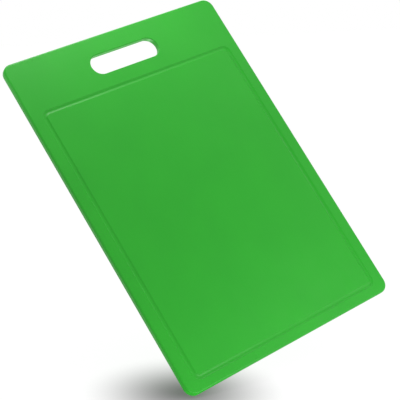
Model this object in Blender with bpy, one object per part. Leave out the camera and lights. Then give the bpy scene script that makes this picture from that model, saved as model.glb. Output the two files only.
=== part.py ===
# A plastic cutting board, moulded in one piece, lying on its back.
# Metres. +Z points out of the working face and +Y towards the finger slot.
# The origin is the middle of the back face.

import math

import bmesh
import bpy

# The board's outline and section
LENGTH = 0.350
WIDTH = 0.250
THICKNESS = 0.007
CORNER_RADIUS = 0.010
EDGE_ROUND = 0.002

# The finger slot, and the bar of plastic left above it for the hand
SLOT_LENGTH = 0.079
SLOT_WIDTH = 0.021
HANDLE_BAR = 0.0195

# The juice groove: its own size, and the flat land left outside it
GROOVE_WIDTH = 0.0045
GROOVE_DEPTH = 0.0009
GROOVE_CORNER = 0.0055
SIDE_LAND = 0.012
END_LAND = 0.010
SLOT_LAND = 0.0145

# Colour and finish of the plastic, as linear values
GREEN = (0.03, 0.38, 0.027, 1.0)
ROUGHNESS = 0.42

# Fineness of the faceted shape
CORNER_STEPS = 8
RIM_RESOLUTION = 2
GROOVE_RESOLUTION = 10
MERGE_DISTANCE = 1e-6
SHARP_ANGLE = math.radians(35)


def rounded_rectangle(left, right, bottom, top, radius):
    """Points of a rectangle with round corners, anticlockwise from its right side."""
    centres = (
        (right - radius, top - radius),
        (left + radius, top - radius),
        (left + radius, bottom + radius),
        (right - radius, bottom + radius),
    )
    points = []
    for quarter, (centre_x, centre_y) in enumerate(centres):
        for step in range(CORNER_STEPS + 1):
            angle = math.radians(90) * (quarter + step / CORNER_STEPS)
            x = centre_x + radius * math.cos(angle)
            y = centre_y + radius * math.sin(angle)
            if not points or math.dist(points[-1], (x, y)) > MERGE_DISTANCE:
                points.append((x, y))
    if math.dist(points[0], points[-1]) < MERGE_DISTANCE:
        points.pop()
    return points


def curve_object(name, loops, dimensions):
    """A curve object of closed straight-sided splines, one for each loop of points."""
    curve = bpy.data.curves.new(name, "CURVE")
    curve.dimensions = dimensions
    for loop in loops:
        spline = curve.splines.new("POLY")
        spline.points.add(len(loop) - 1)
        for point, (x, y) in zip(spline.points, loop):
            point.co = (x, y, 0.0, 1.0)
        spline.use_cyclic_u = True
    return bpy.data.objects.new(name, curve)


def mesh_object(curve_obj, collection):
    """Replace a curve object by a closed mesh object in the same place."""
    bpy.context.scene.collection.objects.link(curve_obj)
    bpy.context.view_layer.update()
    evaluated = curve_obj.evaluated_get(bpy.context.evaluated_depsgraph_get())
    mesh = bpy.data.meshes.new_from_object(evaluated)
    name = curve_obj.name
    place = curve_obj.matrix_world.copy()
    bpy.data.objects.remove(curve_obj)
    work = bmesh.new()
    work.from_mesh(mesh)
    bmesh.ops.remove_doubles(work, verts=work.verts, dist=MERGE_DISTANCE)
    bmesh.ops.recalc_face_normals(work, faces=work.faces)
    work.to_mesh(mesh)
    work.free()
    mesh.shade_smooth()
    mesh.set_sharp_from_angle(angle=SHARP_ANGLE)
    mesh.name = name
    obj = bpy.data.objects.new(name, mesh)
    obj.matrix_world = place
    collection.objects.link(obj)
    return obj


def plastic():
    """Green moulded plastic with a satin finish."""
    material = bpy.data.materials.new("green_plastic")
    material.use_nodes = True
    shader = material.node_tree.nodes["Principled BSDF"]
    shader.inputs["Base Color"].default_value = GREEN
    shader.inputs["Roughness"].default_value = ROUGHNESS
    shader.inputs["Metallic"].default_value = 0.0
    return material


def slot_bottom():
    """Where the slot's edge nearest the groove lies along Y."""
    return LENGTH / 2 - HANDLE_BAR - SLOT_WIDTH


def slot_outline():
    """The slot's outline: straight sides and half-round ends."""
    bottom = slot_bottom()
    half = SLOT_LENGTH / 2
    return rounded_rectangle(-half, half, bottom, bottom + SLOT_WIDTH, SLOT_WIDTH / 2)


def groove_line():
    """The groove's centre line, a rounded rectangle below the slot."""
    side = WIDTH / 2 - SIDE_LAND - GROOVE_WIDTH / 2
    bottom = -LENGTH / 2 + END_LAND + GROOVE_WIDTH / 2
    top = slot_bottom() - SLOT_LAND - GROOVE_WIDTH / 2
    return rounded_rectangle(-side, side, bottom, top, GROOVE_CORNER)


def blank(collection):
    """The board with its slot and its rounded rims, before the groove."""
    half = WIDTH / 2
    outline = rounded_rectangle(-half, half, -LENGTH / 2, LENGTH / 2, CORNER_RADIUS)
    slab = curve_object("board", [outline, slot_outline()], "2D")
    slab.data.fill_mode = "BOTH"
    slab.data.extrude = THICKNESS / 2 - EDGE_ROUND
    slab.data.bevel_depth = EDGE_ROUND
    slab.data.bevel_resolution = RIM_RESOLUTION
    slab.data.offset = -EDGE_ROUND
    slab.location.z = THICKNESS / 2
    return mesh_object(slab, collection)


def groove_cutter(collection):
    """A round bar laid along the groove's centre line, sunk to the groove's depth."""
    radius = (GROOVE_WIDTH ** 2 / 4 + GROOVE_DEPTH ** 2) / (2 * GROOVE_DEPTH)
    bar = curve_object("groove_cutter", [groove_line()], "3D")
    bar.data.bevel_depth = radius
    bar.data.bevel_resolution = GROOVE_RESOLUTION
    bar.location.z = THICKNESS + radius - GROOVE_DEPTH
    cutter = mesh_object(bar, collection)
    cutter.hide_render = True
    cutter.display_type = "WIRE"
    return cutter


def main():
    for obj in list(bpy.data.objects):
        bpy.data.objects.remove(obj)
    scene = bpy.context.scene
    parts = bpy.data.collections.new("cutting_board")
    cutters = bpy.data.collections.new("cutters")
    scene.collection.children.link(parts)
    scene.collection.children.link(cutters)

    board = blank(parts)
    board.data.materials.append(plastic())
    cut = board.modifiers.new("juice_groove", "BOOLEAN")
    cut.operation = "DIFFERENCE"
    cut.solver = "EXACT"
    cut.object = groove_cutter(cutters)


main()
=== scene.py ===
# Looks of a one-piece plastic cutting board, laid out as a Blender add-on and run as a script.
# Metres. The board lies on its back: +Z is out of the working face, +Y towards the finger slot.
# The camera is rolled, so that the board seems to stand on one corner, as in the photograph.

import math

import bmesh
import bpy
from bpy.props import FloatProperty, FloatVectorProperty, IntProperty, PointerProperty
from mathutils import Matrix, Quaternion, Vector


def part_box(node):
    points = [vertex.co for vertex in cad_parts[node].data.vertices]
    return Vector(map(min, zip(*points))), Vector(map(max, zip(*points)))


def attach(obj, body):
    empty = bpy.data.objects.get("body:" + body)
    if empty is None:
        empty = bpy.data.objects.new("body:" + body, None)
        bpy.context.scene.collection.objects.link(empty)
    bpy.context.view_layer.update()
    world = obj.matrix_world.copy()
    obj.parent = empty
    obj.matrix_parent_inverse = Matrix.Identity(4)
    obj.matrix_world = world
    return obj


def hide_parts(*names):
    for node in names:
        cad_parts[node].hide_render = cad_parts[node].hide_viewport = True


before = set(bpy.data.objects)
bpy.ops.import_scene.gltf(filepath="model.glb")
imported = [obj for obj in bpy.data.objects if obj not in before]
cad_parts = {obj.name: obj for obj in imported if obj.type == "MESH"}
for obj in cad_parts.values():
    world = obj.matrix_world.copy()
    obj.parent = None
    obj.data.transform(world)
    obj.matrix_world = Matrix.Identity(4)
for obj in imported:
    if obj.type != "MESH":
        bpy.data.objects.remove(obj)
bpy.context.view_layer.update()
BOARD_LOW, BOARD_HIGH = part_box("board")

bl_info = {
    "name": "Plastic Cutting Board",
    "version": (1, 0, 0),
    "blender": (4, 5, 0),
    "location": "View3D > Sidebar > Cutting Board",
    "description": "Builds a moulded plastic cutting board and a plain studio to see it in",
    "category": "Object",
}

# Shape: points nearer than this are merged, a corner's turn, and how far flats rule the shading
MERGE_DISTANCE = 1e-6
QUARTER_TURN = math.radians(90)
FLAT_FACE_WEIGHT = 100

# Plastic: its index, the noise values that are spread over a whole range, and noise details
PLASTIC_IOR = 1.49
NOISE_RANGE = (0.3, 0.7)
CLOUD_DETAIL = 3.0
PATCH_DETAIL = 4.0
GRAIN_DETAIL = 2.0

# Hairlines: size, the noise values over which one appears, directions in degrees, the
# roughness that one adds, and the depths below the working face between which they fade out
HAIR_WIDTH = 0.0006
HAIR_LENGTH = 0.050
HAIR_RANGE = (0.70, 0.75)
HAIR_TURNS = (12.0, -38.0, 71.0)
HAIR_DULLING = 0.10
HAIR_FADE = (0.0001, 0.0004)

# Studio: the camera's sensor in millimetres, and half the floor's side in metres
SENSOR_WIDTH = 36.0
FLOOR_HALF = 3.0

# Soft lights: place and aim on the board's axes and length of a side, all in metres, and watts
SOFT_LIGHTS = (
    ("top_light", (0.0, 0.34, 0.12), (0.0, 0.12, 0.0), 0.15, 0.36),
    ("top_right_light", (0.18, 0.34, 0.22), (0.11, 0.12, 0.0), 0.15, 0.17),
    ("right_top_light", (0.22, 0.16, 0.14), (0.08, 0.11, 0.0), 0.15, 0.025),
    ("right_light", (0.32, 0.0, 0.06), (0.08, 0.0, 0.0), 0.15, 0.08),
    ("right_bottom_light", (0.22, -0.16, 0.30), (0.08, -0.11, 0.0), 0.15, 0.07),
    ("bottom_right_light", (0.18, -0.24, 0.08), (0.11, -0.12, 0.0), 0.15, 0.05),
    ("bottom_light", (0.0, -0.32, 0.20), (0.0, -0.12, 0.0), 0.15, 0.30),
    ("bottom_left_light", (-0.18, -0.32, 0.20), (-0.11, -0.12, 0.0), 0.15, 0.23),
    ("left_top_light", (-0.19, 0.185, 0.010), (-0.124, 0.165, 0.0035), 0.06, 0.014),
    ("slot_back_light", (-0.03, 0.0, -0.17), (0.0, 0.145, 0.0), 0.12, 0.26),
)


class BoardSizes(bpy.types.PropertyGroup):
    """Sizes of the board."""

    width: FloatProperty(
        name="Width",
        description="Across the board",
        default=BOARD_HIGH.x - BOARD_LOW.x,
        unit="LENGTH",
    )
    length: FloatProperty(
        name="Length",
        description="Along the board, towards the slot",
        default=BOARD_HIGH.y - BOARD_LOW.y,
        unit="LENGTH",
    )
    thickness: FloatProperty(
        name="Thickness",
        description="From the back face to the working face",
        default=BOARD_HIGH.z - BOARD_LOW.z,
        unit="LENGTH",
    )
    corner_radius: FloatProperty(
        name="Corner Radius",
        description="Radius of the outline's corners, seen from above",
        default=0.010,
        unit="LENGTH",
    )
    edge_round: FloatProperty(
        name="Edge Round",
        description="Round-over of the rims",
        default=0.002,
        unit="LENGTH",
    )
    slot_round: FloatProperty(
        name="Slot Round",
        description="Sharper round-over of the slot's rim in the working face",
        default=0.0007,
        unit="LENGTH",
    )
    slot_length: FloatProperty(
        name="Slot Length",
        description="Finger slot from end to end",
        default=0.079,
        unit="LENGTH",
    )
    slot_width: FloatProperty(
        name="Slot Width",
        description="Finger slot across",
        default=0.021,
        unit="LENGTH",
    )
    handle_bar: FloatProperty(
        name="Handle Bar",
        description="Plastic between the slot and the board's end",
        default=0.0195,
        unit="LENGTH",
    )
    groove_width: FloatProperty(
        name="Groove Width",
        description="Juice groove from edge to edge",
        default=0.0045,
        unit="LENGTH",
    )
    groove_depth: FloatProperty(
        name="Groove Depth",
        description="Juice groove below the working face",
        default=0.0009,
        unit="LENGTH",
    )
    groove_corner: FloatProperty(
        name="Groove Corner",
        description="Radius of the groove's centre line at its corners",
        default=0.0055,
        unit="LENGTH",
    )
    groove_lip: FloatProperty(
        name="Groove Lip",
        description="Small round-over where the groove meets the face",
        default=0.0004,
        unit="LENGTH",
    )
    side_land: FloatProperty(
        name="Side Land",
        description="Flat left outside the groove at the sides",
        default=0.012,
        unit="LENGTH",
    )
    end_land: FloatProperty(
        name="End Land",
        description="Flat left outside the groove at the far end",
        default=0.010,
        unit="LENGTH",
    )
    slot_land: FloatProperty(
        name="Slot Land",
        description="Flat left between the slot and the groove",
        default=0.0145,
        unit="LENGTH",
    )
    corner_steps: IntProperty(
        name="Corner Steps",
        description="Faces in a quarter turn of an outline",
        default=14,
        min=2,
    )
    rim_steps: IntProperty(
        name="Rim Steps",
        description="Faces across a round-over",
        default=8,
        min=2,
    )


class BoardFinish(bpy.types.PropertyGroup):
    """Colour and finish of the plastic."""

    deep_green: FloatVectorProperty(
        name="Deep Green",
        description="Colour where the pigment lies thickest",
        default=(0.001, 0.366, 0.0005),
        subtype="COLOR",
        min=0.0,
        max=1.0,
    )
    pale_green: FloatVectorProperty(
        name="Pale Green",
        description="Colour where the pigment lies thinnest",
        default=(0.003, 0.388, 0.0015),
        subtype="COLOR",
        min=0.0,
        max=1.0,
    )
    cloud_size: FloatProperty(
        name="Cloud Size",
        description="Width of the faint clouds in the colour",
        default=0.045,
        unit="LENGTH",
    )
    patch_size: FloatProperty(
        name="Patch Size",
        description="Width of the patches that are smoother or rougher",
        default=0.015,
        unit="LENGTH",
    )
    smoothest: FloatProperty(
        name="Smoothest",
        description="Roughness of the smoothest patches",
        default=0.37,
        subtype="FACTOR",
        min=0.0,
        max=1.0,
    )
    roughest: FloatProperty(
        name="Roughest",
        description="Roughness of the roughest patches",
        default=0.43,
        subtype="FACTOR",
        min=0.0,
        max=1.0,
    )
    grain_size: FloatProperty(
        name="Grain Size",
        description="Width of the moulded grain",
        default=0.0006,
        unit="LENGTH",
    )
    grain_height: FloatProperty(
        name="Grain Height",
        description="Height of the moulded grain",
        default=0.00008,
        unit="LENGTH",
    )
    sink_height: FloatProperty(
        name="Sink Height",
        description="Height of the shallow waves left as the plastic shrinks",
        default=0.00005,
        unit="LENGTH",
    )
    scuff_depth: FloatProperty(
        name="Scuff Depth",
        description="Depth of the faint hairlines on the working face",
        default=0.000012,
        unit="LENGTH",
    )


class BoardStudio(bpy.types.PropertyGroup):
    """Camera, floor and light."""

    lens: FloatProperty(
        name="Lens",
        description="Focal length of the camera in millimetres",
        default=110.9,
        unit="CAMERA",
    )
    distance: FloatProperty(
        name="Camera Distance",
        description="From the camera to the point it aims at",
        default=1.1618,
        unit="LENGTH",
    )
    aim: FloatVectorProperty(
        name="Aim",
        description="Point that the camera aims at",
        default=(-0.01184, -0.01693, 0.007),
        subtype="XYZ",
        unit="LENGTH",
    )
    azimuth: FloatProperty(
        name="Azimuth",
        description="Direction that the camera looks in, from +Y",
        default=math.radians(-70.616),
        subtype="ANGLE",
    )
    elevation: FloatProperty(
        name="Elevation",
        description="Height of the camera above the board's plane",
        default=math.radians(55.601),
        subtype="ANGLE",
    )
    roll: FloatProperty(
        name="Roll",
        description="Turn of the camera about its own line of sight",
        default=math.radians(42.861),
        subtype="ANGLE",
    )
    floor_pitch: FloatProperty(
        name="Floor Pitch",
        description="How far the camera looks down on the floor",
        default=math.radians(12.5),
        subtype="ANGLE",
    )
    floor_white: FloatProperty(
        name="Floor White",
        description="How much light the floor gives back",
        default=0.8,
        subtype="FACTOR",
        min=0.0,
        max=1.0,
    )
    backdrop: FloatProperty(
        name="Backdrop",
        description="Brightness that the floor shows by itself, where 1 is white",
        default=0.94,
        subtype="FACTOR",
        min=0.0,
        max=1.0,
    )
    lit_share: FloatProperty(
        name="Lit Share",
        description="Share of the lit floor in what the eye sees of it",
        default=0.15,
        subtype="FACTOR",
        min=0.0,
        max=0.9,
    )
    # The soft shadow under the standing corner is painted into the floor's glow, darkest at its
    # middle
    shadow_radius: FloatProperty(
        name="Shadow Radius",
        description="Reach of the soft shadow under the standing corner",
        default=0.1,
        unit="LENGTH",
    )
    shadow_depth: FloatProperty(
        name="Shadow Depth",
        description="Share of the light that the soft shadow takes at its middle",
        default=0.86,
        subtype="FACTOR",
        min=0.0,
        max=1.0,
    )
    shadow_left: FloatProperty(
        name="Shadow Left",
        description="From the standing corner to the middle of its shadow",
        default=0.009,
        unit="LENGTH",
    )
    shadow_back: FloatProperty(
        name="Shadow Back",
        description="From the standing corner back to the middle of its shadow",
        default=0.006,
        unit="LENGTH",
    )
    # A glow painted into the floor round the standing corner stands in for bounce light on the
    # board
    bounce_glow: FloatProperty(
        name="Bounce",
        description="Light that the floor throws up at the standing corner",
        default=1.1,
        min=0.0,
    )
    bounce_glow_radius: FloatProperty(
        name="Bounce Radius",
        description="Reach of that light on the floor",
        default=0.08,
        unit="LENGTH",
    )
    ambient: FloatProperty(
        name="Ambient",
        description="Level of the even light from all round",
        default=0.62,
        min=0.0,
    )


def mesh_object(work, name):
    """Turn a bmesh into an object at the origin."""
    mesh = bpy.data.meshes.new(name)
    work.to_mesh(mesh)
    work.free()
    obj = bpy.data.objects.new(name, mesh)
    bpy.context.scene.collection.objects.link(obj)
    return obj


class Outline:
    """A rectangle with round corners in a plane of the board."""

    def __init__(self, left, right, bottom, top, radius):
        self.centre = Vector(((left + right) / 2, (bottom + top) / 2))
        self.half = Vector(((right - left) / 2, (top - bottom) / 2))
        self.radius = radius

    def loop(self, work, steps):
        """Add the outline as a loop of edges."""
        stretch = Matrix.Diagonal((*self.half, 1.0, 1.0))
        square = bmesh.ops.create_grid(
            work,
            x_segments=1,
            y_segments=1,
            size=1.0,
            matrix=Matrix.Translation((*self.centre, 0.0)) @ stretch,
        )
        rounded = bmesh.ops.bevel(
            work,
            geom=square["verts"],
            offset=self.radius,
            offset_type="OFFSET",
            segments=steps,
            profile=0.5,
            affect="VERTICES",
            material=-1,
        )
        verts = rounded["verts"]
        bmesh.ops.delete(work, geom=verts[0].link_faces[:], context="FACES_ONLY")
        bmesh.ops.remove_doubles(work, verts=verts, dist=MERGE_DISTANCE)
        return list({edge for vert in verts if vert.is_valid for edge in vert.link_edges})

    def place(self, verts, outward, height):
        """Move vertices of the outline outward from it, and to a height."""
        straight = self.half - Vector((self.radius, self.radius))
        for vert in verts:
            flat = vert.co.xy - self.centre
            pivot = Vector([max(-s, min(s, f)) for s, f in zip(straight, flat)])
            moved = self.centre + pivot + (flat - pivot).normalized() * (self.radius + outward)
            vert.co = (moved.x, moved.y, height)

    def sweep(self, work, section, steps):
        """Lay a section of outward offsets and heights round the outline.

        Returns the loops of edges along the first and the last point of the section."""
        first = edges = self.loop(work, steps)
        verts = {vert for edge in edges for vert in edge.verts}
        self.place(verts, *section[0])
        for outward, height in section[1:]:
            made = bmesh.ops.extrude_edge_only(work, edges=edges)["geom"]
            verts = {item for item in made if isinstance(item, bmesh.types.BMVert)}
            edges = {edge for vert in verts for edge in vert.link_edges}
            edges = [edge for edge in edges if verts.issuperset(edge.verts)]
            self.place(verts, outward, height)
        return first, edges


def fill(work, loops, up):
    """Fill the flat between loops of edges; the loops inside the first one stay open."""
    edges = [edge for loop in loops for edge in loop]
    bmesh.ops.triangle_fill(
        work, use_beauty=True, use_dissolve=False, edges=edges, normal=(0.0, 0.0, up)
    )


def quarter_round(radius, steps):
    """Outward offset and height of a quarter round, from a flat face to an upright wall."""
    angles = [QUARTER_TURN * step / steps for step in range(steps + 1)]
    return [(-radius * (1 - math.sin(a)), radius * (1 - math.cos(a))) for a in angles]


def rim_section(sizes, face_round):
    """Outward offset and height of a rounded rim, from the back face up to the working face."""
    back = quarter_round(sizes.edge_round, sizes.rim_steps)
    face = quarter_round(face_round, sizes.rim_steps)
    return back + [(outward, sizes.thickness - height) for outward, height in reversed(face)]


def groove_section(sizes):
    """Outward offset and height across the groove, from its outer lip to its inner lip."""
    radius = (sizes.groove_width ** 2 / 4 + sizes.groove_depth ** 2) / (2 * sizes.groove_depth)
    rise = radius - sizes.groove_depth
    lip = sizes.groove_lip
    lip_x = math.sqrt((radius + lip) ** 2 - (rise + lip) ** 2)
    turn = math.atan2(lip_x, rise + lip)
    face = sizes.thickness
    lip_steps = sizes.rim_steps // 2
    half = []
    for step in range(lip_steps):
        angle = turn * step / lip_steps
        half.append((lip_x - lip * math.sin(angle), face - lip * (1 - math.cos(angle))))
    for step in range(sizes.rim_steps):
        angle = turn * (1 - step / sizes.rim_steps)
        half.append((radius * math.sin(angle), face + rise - radius * math.cos(angle)))
    bottom = [(0.0, face - sizes.groove_depth)]
    return half + bottom + [(-x, z) for x, z in reversed(half)]


def slot_bottom(sizes):
    """Where the slot's edge nearest the groove lies along Y."""
    return sizes.length / 2 - sizes.handle_bar - sizes.slot_width


def board_outline(sizes):
    """The board's outline, seen from above."""
    half = sizes.width / 2
    return Outline(-half, half, -sizes.length / 2, sizes.length / 2, sizes.corner_radius)


def slot_outline(sizes):
    """The slot's outline: straight sides and half-round ends."""
    half = sizes.slot_length / 2
    bottom = slot_bottom(sizes)
    return Outline(-half, half, bottom, bottom + sizes.slot_width, sizes.slot_width / 2)


def groove_line(sizes):
    """The groove's centre line, a rounded rectangle below the slot."""
    half_groove = sizes.groove_width / 2
    side = sizes.width / 2 - sizes.side_land - half_groove
    bottom = -sizes.length / 2 + sizes.end_land + half_groove
    top = slot_bottom(sizes) - sizes.slot_land - half_groove
    return Outline(-side, side, bottom, top, sizes.groove_corner)


def build_board(sizes):
    """The board as one closed mesh: rims, slot wall and groove as bands, flats between them."""
    work = bmesh.new()
    steps = sizes.corner_steps
    rim = rim_section(sizes, sizes.edge_round)
    slot_rim = [(-outward, height) for outward, height in rim_section(sizes, sizes.slot_round)]
    back_edge, face_edge = board_outline(sizes).sweep(work, rim, steps)
    slot_back, slot_face = slot_outline(sizes).sweep(work, slot_rim, steps)
    groove_outside, groove_inside = groove_line(sizes).sweep(work, groove_section(sizes), steps)
    fill(work, [back_edge, slot_back], -1.0)
    fill(work, [face_edge, slot_face, groove_outside], 1.0)
    fill(work, [groove_inside], 1.0)
    bmesh.ops.remove_doubles(work, verts=work.verts, dist=MERGE_DISTANCE)
    bmesh.ops.recalc_face_normals(work, faces=work.faces)
    board = mesh_object(work, "board_body")
    board.data.shade_smooth()
    weighted = board.modifiers.new("flat_faces", "WEIGHTED_NORMAL")
    weighted.mode = "FACE_AREA"
    weighted.weight = FLAT_FACE_WEIGHT
    return board


def new_material(name):
    material = bpy.data.materials.new(name)
    material.use_nodes = True
    return material, material.node_tree.nodes, material.node_tree.links


def arithmetic(nodes, links, operation, first, second):
    """A Math node on two values, each a socket or a number."""
    node = nodes.new("ShaderNodeMath")
    node.operation = operation
    for socket, value in zip(node.inputs, (first, second)):
        if isinstance(value, bpy.types.NodeSocket):
            links.new(value, socket)
        else:
            socket.default_value = value
    return node.outputs["Value"]


def map_range(nodes, links, value, low, high, to_low=0.0, to_high=1.0, curve="LINEAR"):
    """Turn a value from low to high into one from to_low to to_high, held at both ends."""
    node = nodes.new("ShaderNodeMapRange")
    node.interpolation_type = curve
    links.new(value, node.inputs["Value"])
    node.inputs["From Min"].default_value = low
    node.inputs["From Max"].default_value = high
    node.inputs["To Min"].default_value = to_low
    node.inputs["To Max"].default_value = to_high
    return node.outputs["Result"]


def noise(nodes, links, place, size, detail):
    """Noise whose lumps are about as wide as size."""
    node = nodes.new("ShaderNodeTexNoise")
    links.new(place, node.inputs["Vector"])
    node.inputs["Scale"].default_value = 1 / size
    node.inputs["Detail"].default_value = detail
    return node.outputs["Fac"]


def hairlines(nodes, links, place, turn):
    """Sparse straight hairlines across the board's plane, turned by an angle."""
    stretch = nodes.new("ShaderNodeMapping")
    links.new(place, stretch.inputs["Vector"])
    stretch.inputs["Rotation"].default_value = (0.0, 0.0, turn)
    stretch.inputs["Scale"].default_value = (1.0, HAIR_WIDTH / HAIR_LENGTH, 1.0)
    lines = noise(nodes, links, stretch.outputs["Vector"], HAIR_WIDTH, 0.0)
    return map_range(nodes, links, lines, *HAIR_RANGE)


def bump(nodes, links, height, distance, below=None):
    """A bump of a real height, on top of another bump's normal."""
    node = nodes.new("ShaderNodeBump")
    links.new(height, node.inputs["Height"])
    node.inputs["Distance"].default_value = distance
    if below is not None:
        links.new(below, node.inputs["Normal"])
    return node.outputs["Normal"]


def plastic_material(finish, thickness):
    """Green moulded plastic: a satin sheen, a fine grain, faint clouds, waves and hairlines."""
    material, nodes, links = new_material("green_moulded_plastic")
    shader = nodes["Principled BSDF"]
    shader.inputs["IOR"].default_value = PLASTIC_IOR
    coordinates = nodes.new("ShaderNodeTexCoord")
    place = coordinates.outputs["Object"]
    split = nodes.new("ShaderNodeSeparateXYZ")
    links.new(place, split.inputs["Vector"])
    full, gone = [thickness - depth for depth in HAIR_FADE]
    face = map_range(nodes, links, split.outputs["Z"], gone, full)

    clouds = noise(nodes, links, place, finish.cloud_size, CLOUD_DETAIL)
    colour = nodes.new("ShaderNodeMix")
    colour.data_type = "RGBA"
    links.new(map_range(nodes, links, clouds, *NOISE_RANGE), colour.inputs["Factor"])
    colour.inputs["A"].default_value = (*finish.deep_green, 1.0)
    colour.inputs["B"].default_value = (*finish.pale_green, 1.0)
    links.new(colour.outputs["Result"], shader.inputs["Base Color"])

    lines = [hairlines(nodes, links, place, math.radians(turn)) for turn in HAIR_TURNS]
    scuffs = lines[0]
    for line in lines[1:]:
        scuffs = arithmetic(nodes, links, "MAXIMUM", scuffs, line)
    scuffs = arithmetic(nodes, links, "MULTIPLY", scuffs, face)

    patches = noise(nodes, links, place, finish.patch_size, PATCH_DETAIL)
    satin = map_range(nodes, links, patches, *NOISE_RANGE, finish.smoothest, finish.roughest)
    dull = arithmetic(nodes, links, "MULTIPLY", scuffs, HAIR_DULLING)
    links.new(arithmetic(nodes, links, "ADD", satin, dull), shader.inputs["Roughness"])

    grain = noise(nodes, links, place, finish.grain_size, GRAIN_DETAIL)
    normal = bump(nodes, links, grain, finish.grain_height)
    normal = bump(nodes, links, clouds, finish.sink_height, normal)
    normal = bump(nodes, links, scuffs, -finish.scuff_depth, normal)
    links.new(normal, shader.inputs["Normal"])
    return material


def camera_rotation(studio):
    """The camera's rotation: its direction from azimuth and elevation, then its roll."""
    flat = math.cos(studio.elevation)
    back = Vector(
        (
            math.sin(studio.azimuth) * flat,
            -math.cos(studio.azimuth) * flat,
            math.sin(studio.elevation),
        )
    )
    return (-back).to_track_quat("-Z", "Y") @ Quaternion((0.0, 0.0, 1.0), studio.roll)


def add_camera(studio):
    data = bpy.data.cameras.new("camera")
    data.lens = studio.lens
    data.sensor_width = SENSOR_WIDTH
    camera = bpy.data.objects.new("camera", data)
    rotation = camera_rotation(studio)
    camera.rotation_mode = "QUATERNION"
    camera.rotation_quaternion = rotation
    camera.location = Vector(studio.aim) + rotation @ Vector((0.0, 0.0, studio.distance))
    bpy.context.scene.collection.objects.link(camera)
    bpy.context.scene.camera = camera


def studio_axes(studio):
    """A matrix whose columns are the studio's right, up and front on the board's axes."""
    lean = Quaternion((1.0, 0.0, 0.0), studio.floor_pitch)
    return (camera_rotation(studio) @ lean).to_matrix()


def seen_directly(nodes, links):
    """1 where the eye, a reflection or a clear piece looks at a surface, else 0."""
    path = nodes.new("ShaderNodeLightPath")
    seen = path.outputs["Is Camera Ray"]
    for kind in ("Is Glossy Ray", "Is Transmission Ray"):
        seen = arithmetic(nodes, links, "MAXIMUM", seen, path.outputs[kind])
    return seen


def fade(nodes, links, distance, radius, middle, outside):
    """A value that goes smoothly from the middle of a round spot to what is outside it."""
    return map_range(nodes, links, distance, 0.0, radius, middle, outside, "SMOOTHSTEP")


def emission(nodes, links, strength):
    """White light of a strength that varies."""
    node = nodes.new("ShaderNodeEmission")
    links.new(strength, node.inputs["Strength"])
    return node.outputs["Emission"]


def mix_shaders(nodes, links, share, first, second):
    """The first shader where share is 0, the second where it is 1, and a mix between."""
    node = nodes.new("ShaderNodeMixShader")
    for source, socket in zip((share, first, second), node.inputs):
        links.new(source, socket)
    return node.outputs["Shader"]


def floor_material(studio, shadow_middle):
    """White floor that takes the board's shadow, with a soft shadow painted under the standing
    corner.

    There it also glows for the board alone, a painted bounce light that the eye doesn't see on
    the floor.
    It shows nothing from below, so that it hides the board in no view."""
    material, nodes, links = new_material("white_floor")
    material.cycles.emission_sampling = "NONE"
    nodes.remove(nodes["Principled BSDF"])
    coordinates = nodes.new("ShaderNodeTexCoord")
    reach = nodes.new("ShaderNodeVectorMath")
    reach.operation = "DISTANCE"
    links.new(coordinates.outputs["Object"], reach.inputs[0])
    reach.inputs[1].default_value = shadow_middle
    distance = reach.outputs["Value"]
    looked_at = seen_directly(nodes, links)
    own_share = 1.0 - studio.lit_share

    # Painted shadow: the floor's own glow darkens smoothly round the standing corner
    shade = fade(nodes, links, distance, studio.shadow_radius, 1.0 - studio.shadow_depth, 1.0)
    own_light = arithmetic(nodes, links, "MULTIPLY", shade, studio.backdrop / own_share)
    glow = emission(nodes, links, own_light)

    lit = nodes.new("ShaderNodeBsdfDiffuse")
    lit.inputs["Color"].default_value = (*[studio.floor_white] * 3, 1.0)
    # Painted bounce light: the floor glows round the standing corner for diffuse light only,
    # not for the eye or reflections
    near = fade(nodes, links, distance, studio.bounce_glow_radius, studio.bounce_glow, 0.0)
    unseen = arithmetic(nodes, links, "SUBTRACT", 1.0, looked_at)
    bounce_glow = emission(nodes, links, arithmetic(nodes, links, "MULTIPLY", near, unseen))
    lighting = nodes.new("ShaderNodeAddShader")
    links.new(lit.outputs["BSDF"], lighting.inputs[0])
    links.new(bounce_glow, lighting.inputs[1])

    own_part = arithmetic(nodes, links, "MULTIPLY", looked_at, own_share)
    above = mix_shaders(nodes, links, own_part, lighting.outputs["Shader"], glow)
    below = nodes.new("ShaderNodeBsdfTransparent").outputs["BSDF"]
    side = nodes.new("ShaderNodeNewGeometry").outputs["Backfacing"]
    surface = mix_shaders(nodes, links, side, above, below)
    links.new(surface, nodes["Material Output"].inputs["Surface"])
    return material


def add_floor(studio):
    """A plain floor under the corner that the board seems to stand on."""
    right, up, front = studio_axes(studio).transposed()
    corner = min((vert.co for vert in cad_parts["board"].data.vertices), key=up.dot)
    turn = up.to_track_quat("Z", "Y").to_matrix().to_4x4()
    place = Matrix.Translation(up * up.dot(corner)) @ turn
    work = bmesh.new()
    bmesh.ops.create_grid(work, x_segments=1, y_segments=1, size=FLOOR_HALF, matrix=place)
    floor = mesh_object(work, "floor")
    shadow_middle = corner - right * studio.shadow_left - front * studio.shadow_back
    floor.data.materials.append(floor_material(studio, shadow_middle))


def add_soft_light(name, place, aim, side, watts):
    """A square soft light that the camera doesn't see."""
    data = bpy.data.lights.new(name, "AREA")
    data.shape = "SQUARE"
    data.size = side
    data.energy = watts
    light = bpy.data.objects.new(name, data)
    light.location = place
    light.rotation_mode = "QUATERNION"
    light.rotation_quaternion = (Vector(aim) - Vector(place)).to_track_quat("-Z", "Y")
    light.visible_camera = False
    bpy.context.scene.collection.objects.link(light)


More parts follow.
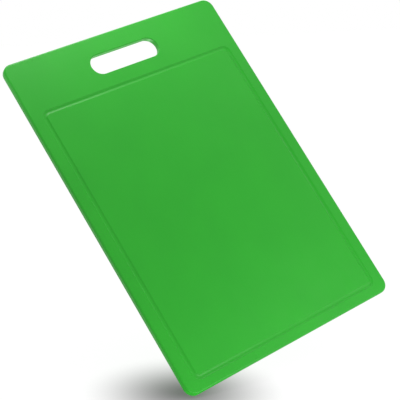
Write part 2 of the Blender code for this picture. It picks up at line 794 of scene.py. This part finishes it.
def set_world(studio):
    """A white background where it is looked at, and an even light on the board."""
    world = bpy.data.worlds.new("studio_world")
    bpy.context.scene.world = world
    world.use_nodes = True
    nodes = world.node_tree.nodes
    links = world.node_tree.links
    background = nodes["Background"]
    background.inputs["Color"].default_value = (1.0, 1.0, 1.0, 1.0)
    seen = seen_directly(nodes, links)
    level = map_range(nodes, links, seen, 0.0, 1.0, studio.ambient, 1.0)
    links.new(level, background.inputs["Strength"])


class BOARD_OT_add_board(bpy.types.Operator):
    """Add the moulded board"""

    bl_idname = "cutting_board.add_board"
    bl_label = "Add Board"

    def execute(self, context):
        scene = context.scene
        board = build_board(scene.board_sizes)
        material = plastic_material(scene.board_finish, scene.board_sizes.thickness)
        board.data.materials.append(material)
        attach(board, "root")
        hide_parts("board")
        return {"FINISHED"}


class BOARD_OT_add_stage(bpy.types.Operator):
    """Add the camera, the floor and the lights"""

    bl_idname = "cutting_board.add_stage"
    bl_label = "Add Stage"

    def execute(self, context):
        scene = context.scene
        studio = scene.board_studio
        scene.view_settings.view_transform = "Standard"
        add_camera(studio)
        add_floor(studio)
        set_world(studio)
        for soft_light in SOFT_LIGHTS:
            add_soft_light(*soft_light)
        return {"FINISHED"}


class BOARD_PT_panel(bpy.types.Panel):
    """Lists what can be built and its sizes"""

    bl_label = "Cutting Board"
    bl_idname = "BOARD_PT_panel"
    bl_space_type = "VIEW_3D"
    bl_region_type = "UI"
    bl_category = "Cutting Board"

    def draw(self, context):
        layout = self.layout
        scene = context.scene
        for group in (scene.board_sizes, scene.board_finish, scene.board_studio):
            column = layout.column()
            for name in group.__annotations__:
                column.prop(group, name)
        layout.operator(BOARD_OT_add_board.bl_idname)
        layout.operator(BOARD_OT_add_stage.bl_idname)


CLASSES = (
    BoardSizes,
    BoardFinish,
    BoardStudio,
    BOARD_OT_add_board,
    BOARD_OT_add_stage,
    BOARD_PT_panel,
)


def register():
    for cls in CLASSES:
        bpy.utils.register_class(cls)
    bpy.types.Scene.board_sizes = PointerProperty(type=BoardSizes)
    bpy.types.Scene.board_finish = PointerProperty(type=BoardFinish)
    bpy.types.Scene.board_studio = PointerProperty(type=BoardStudio)


def unregister():
    del bpy.types.Scene.board_studio
    del bpy.types.Scene.board_finish
    del bpy.types.Scene.board_sizes
    for cls in reversed(CLASSES):
        bpy.utils.unregister_class(cls)


def main():
    register()
    bpy.ops.cutting_board.add_board()
    bpy.ops.cutting_board.add_stage()


if __name__ == "__main__":
    main()
